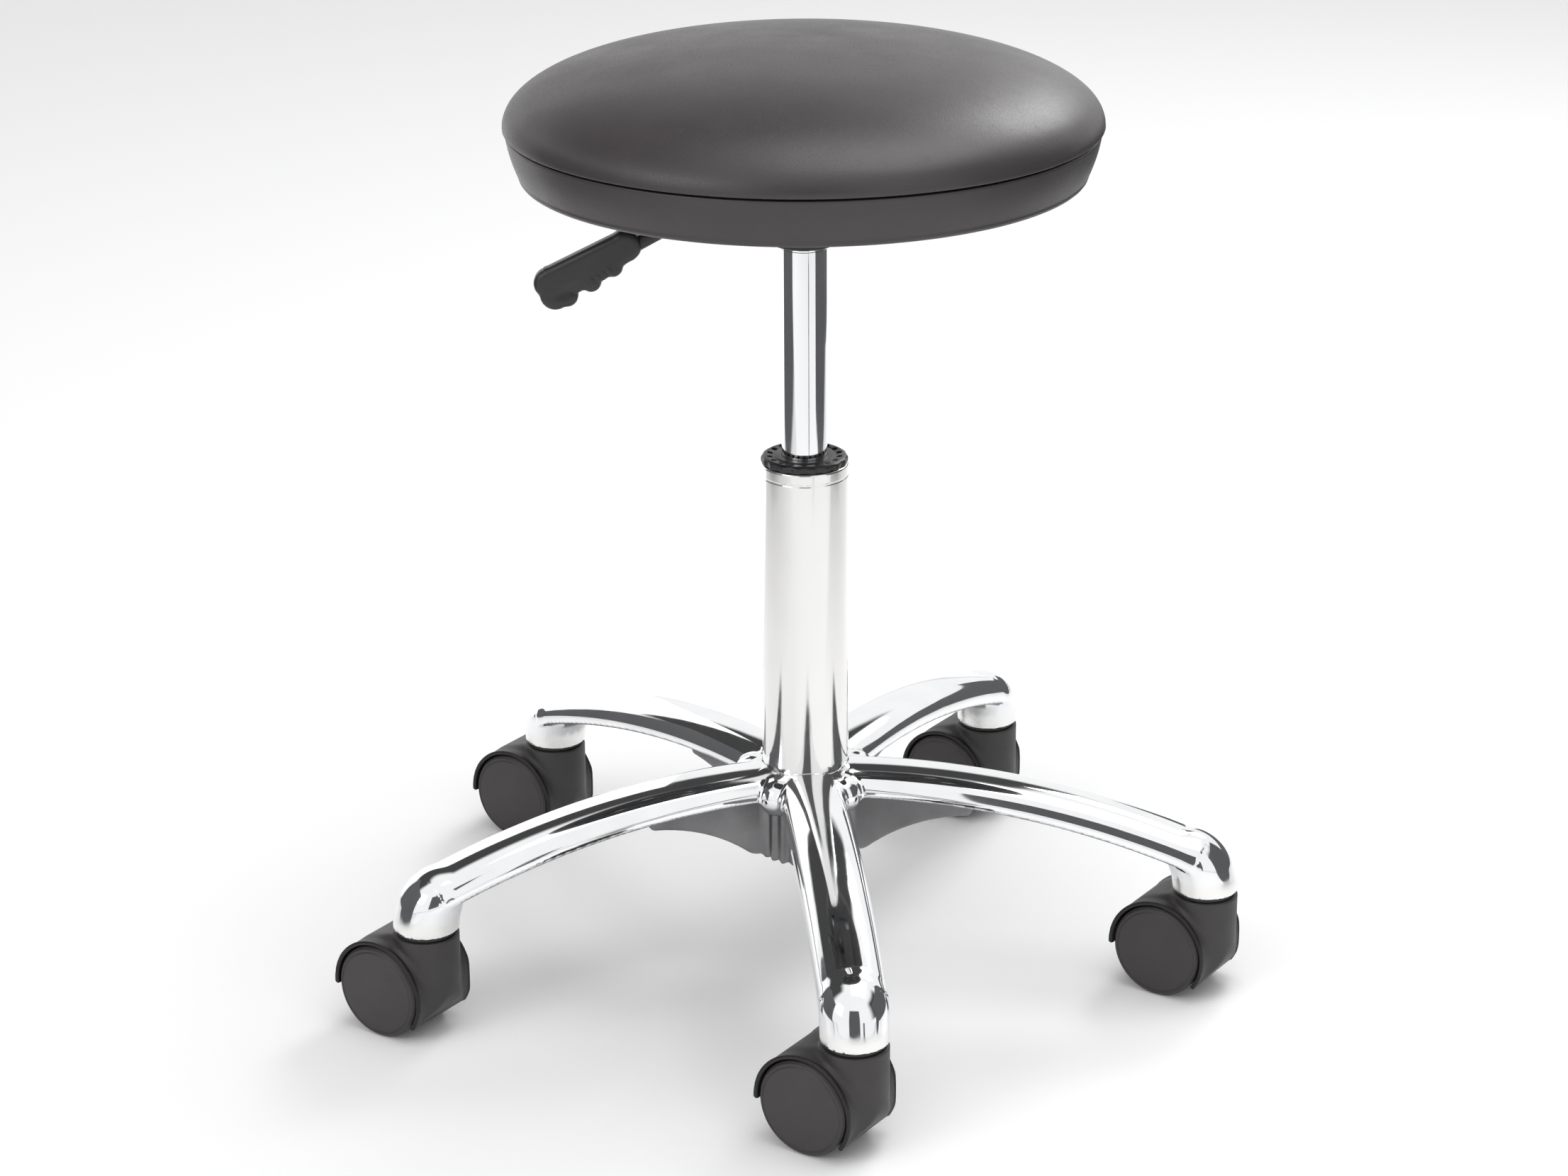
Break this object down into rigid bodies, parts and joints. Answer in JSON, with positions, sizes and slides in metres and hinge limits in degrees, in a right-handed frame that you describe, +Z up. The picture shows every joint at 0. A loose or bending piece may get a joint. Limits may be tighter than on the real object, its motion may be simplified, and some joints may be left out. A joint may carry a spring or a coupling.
{
  "type": "rolling stool",
  "caption": "Height-adjustable rolling stylist stool: round padded vinyl seat on a gas lift with a release lever, over a polished star base on twin-wheel castors.",
  "frame": {"origin": "on the floor, under the column's axis", "axes": "+Z up along the column; -X towards the release lever; the front arm points about along -Y"},
  "size_m": [0.5652, 0.5541, 0.5927],
  "materials": {
    "cast_aluminium": "polished",
    "polished_tube": "polished",
    "chrome_cylinder": "polished",
    "black_collar": "satin",
    "bare_steel": "satin",
    "black_steel": "satin",
    "spring_steel": "satin",
    "bolt_steel": "satin",
    "bump_rubber": "matte",
    "charcoal_nylon": "matte",
    "wheel_nylon": "matte",
    "grip_plastic": "satin",
    "white_acetal": "satin",
    "seat_vinyl": "satin",
    "seat_foam": "matte",
    "birch_ply": "matte",
    "dust_cloth": "matte"
  },
  "bodies": {
    "base": {"star_base": "cast_aluminium", "column_tube": "polished_tube", "guide_collar": "black_collar", "column_foot": "bare_steel", "bearing_lower_race": "bare_steel", "castor_stems": "black_steel", "stem_grip_rings": "spring_steel"},
    "piston": {"piston_rod": "bare_steel", "bearing_upper_race": "bare_steel", "bearing_balls": "bare_steel", "rubber_buffer": "bump_rubber", "foot_washer": "bare_steel", "foot_clip": "spring_steel"},
    "seat": {"gas_cylinder": "chrome_cylinder", "seat_plate": "black_steel", "lever_pivot_pin": "bare_steel", "plate_bolts": "bolt_steel", "bolt_washers": "bare_steel", "tee_nuts": "bare_steel", "plywood_board": "birch_ply", "foam_pad": "seat_foam", "top_cover": "seat_vinyl", "band_cover": "seat_vinyl", "dust_cover": "dust_cloth", "staples": "bare_steel"},
    "lever": {"lever_rod": "black_steel", "lever_grip": "grip_plastic"},
    "valve_pin": {"release_pin": "white_acetal"},
    "front_castor": {"front_hood": "charcoal_nylon", "front_axle": "bare_steel"},
    "front_wheel_a_roll": {"front_wheel_a": "wheel_nylon"},
    "front_wheel_b_roll": {"front_wheel_b": "wheel_nylon"},
    "right_front_castor": {"right_front_hood": "charcoal_nylon", "right_front_axle": "bare_steel"},
    "right_front_wheel_a_roll": {"right_front_wheel_a": "wheel_nylon"},
    "right_front_wheel_b_roll": {"right_front_wheel_b": "wheel_nylon"},
    "right_back_castor": {"right_back_hood": "charcoal_nylon", "right_back_axle": "bare_steel"},
    "right_back_wheel_a_roll": {"right_back_wheel_a": "wheel_nylon"},
    "right_back_wheel_b_roll": {"right_back_wheel_b": "wheel_nylon"},
    "left_back_castor": {"left_back_hood": "charcoal_nylon", "left_back_axle": "bare_steel"},
    "left_back_wheel_a_roll": {"left_back_wheel_a": "wheel_nylon"},
    "left_back_wheel_b_roll": {"left_back_wheel_b": "wheel_nylon"},
    "left_front_castor": {"left_front_hood": "charcoal_nylon", "left_front_axle": "bare_steel"},
    "left_front_wheel_a_roll": {"left_front_wheel_a": "wheel_nylon"},
    "left_front_wheel_b_roll": {"left_front_wheel_b": "wheel_nylon"}
  },
  "joints": [
    {"name": "seat_swivel", "type": "hinge", "parent": "base", "child": "piston", "pos_m": [0, 0, 0.08], "axis": [0, 0, 1], "continuous": true},
    {"name": "seat_height", "type": "slide", "parent": "piston", "child": "seat", "axis": [0, 0, 1], "range_m": [-0.11, 0]},
    {"name": "lever_tilt", "type": "hinge", "parent": "seat", "child": "lever", "pos_m": [-0.022, 0, 0.50495], "axis": [0, 1, 0], "range_deg": [0, 7], "stiffness_Nm_per_rad": 0.6, "springref_deg": -11.46},
    {"name": "valve_travel", "type": "slide", "parent": "seat", "child": "valve_pin", "axis": [0, 0, 1], "range_m": [-0.0032, 0]},
    {"name": "front_swivel", "type": "hinge", "parent": "base", "child": "front_castor", "pos_m": [0.02798, -0.25346, 0.067], "axis": [0, 0, 1], "continuous": true},
    {"name": "front_wheel_a_spin", "type": "hinge", "parent": "front_castor", "child": "front_wheel_a_roll", "pos_m": [0.01125, -0.24213, 0.0298], "axis": [-0.5606, -0.8281, 0], "continuous": true},
    {"name": "front_wheel_b_spin", "type": "hinge", "parent": "front_castor", "child": "front_wheel_b_roll", "pos_m": [0.01125, -0.24213, 0.0298], "axis": [-0.5606, -0.8281, 0], "continuous": true},
    {"name": "right_front_swivel", "type": "hinge", "parent": "base", "child": "right_front_castor", "pos_m": [0.2497, -0.05171, 0.067], "axis": [0, 0, 1], "continuous": true},
    {"name": "right_front_wheel_a_spin", "type": "hinge", "parent": "right_front_castor", "child": "right_front_wheel_a_roll", "pos_m": [0.23297, -0.04039, 0.0298], "axis": [-0.5606, -0.8281, 0], "continuous": true},
    {"name": "right_front_wheel_b_spin", "type": "hinge", "parent": "right_front_castor", "child": "right_front_wheel_b_roll", "pos_m": [0.23297, -0.04039, 0.0298], "axis": [-0.5606, -0.8281, 0], "continuous": true},
    {"name": "right_back_swivel", "type": "hinge", "parent": "base", "child": "right_back_castor", "pos_m": [0.12634, 0.2215, 0.067], "axis": [0, 0, 1], "continuous": true},
    {"name": "right_back_wheel_a_spin", "type": "hinge", "parent": "right_back_castor", "child": "right_back_wheel_a_roll", "pos_m": [0.10962, 0.23283, 0.0298], "axis": [-0.5606, -0.8281, 0], "continuous": true},
    {"name": "right_back_wheel_b_spin", "type": "hinge", "parent": "right_back_castor", "child": "right_back_wheel_b_roll", "pos_m": [0.10962, 0.23283, 0.0298], "axis": [-0.5606, -0.8281, 0], "continuous": true},
    {"name": "left_back_swivel", "type": "hinge", "parent": "base", "child": "left_back_castor", "pos_m": [-0.17162, 0.18861, 0.067], "axis": [0, 0, 1], "continuous": true},
    {"name": "left_back_wheel_a_spin", "type": "hinge", "parent": "left_back_castor", "child": "left_back_wheel_a_roll", "pos_m": [-0.18835, 0.19993, 0.0298], "axis": [-0.5606, -0.8281, 0], "continuous": true},
    {"name": "left_back_wheel_b_spin", "type": "hinge", "parent": "left_back_castor", "child": "left_back_wheel_b_roll", "pos_m": [-0.18835, 0.19993, 0.0298], "axis": [-0.5606, -0.8281, 0], "continuous": true},
    {"name": "left_front_swivel", "type": "hinge", "parent": "base", "child": "left_front_castor", "pos_m": [-0.23241, -0.10494, 0.067], "axis": [0, 0, 1], "continuous": true},
    {"name": "left_front_wheel_a_spin", "type": "hinge", "parent": "left_front_castor", "child": "left_front_wheel_a_roll", "pos_m": [-0.24913, -0.09361, 0.0298], "axis": [-0.5606, -0.8281, 0], "continuous": true},
    {"name": "left_front_wheel_b_spin", "type": "hinge", "parent": "left_front_castor", "child": "left_front_wheel_b_roll", "pos_m": [-0.24913, -0.09361, 0.0298], "axis": [-0.5606, -0.8281, 0], "continuous": true}
  ],
  "couplings": [
    {"joint": "valve_travel", "follows": "lever_tilt", "m_per_rad": -0.022}
  ]
}
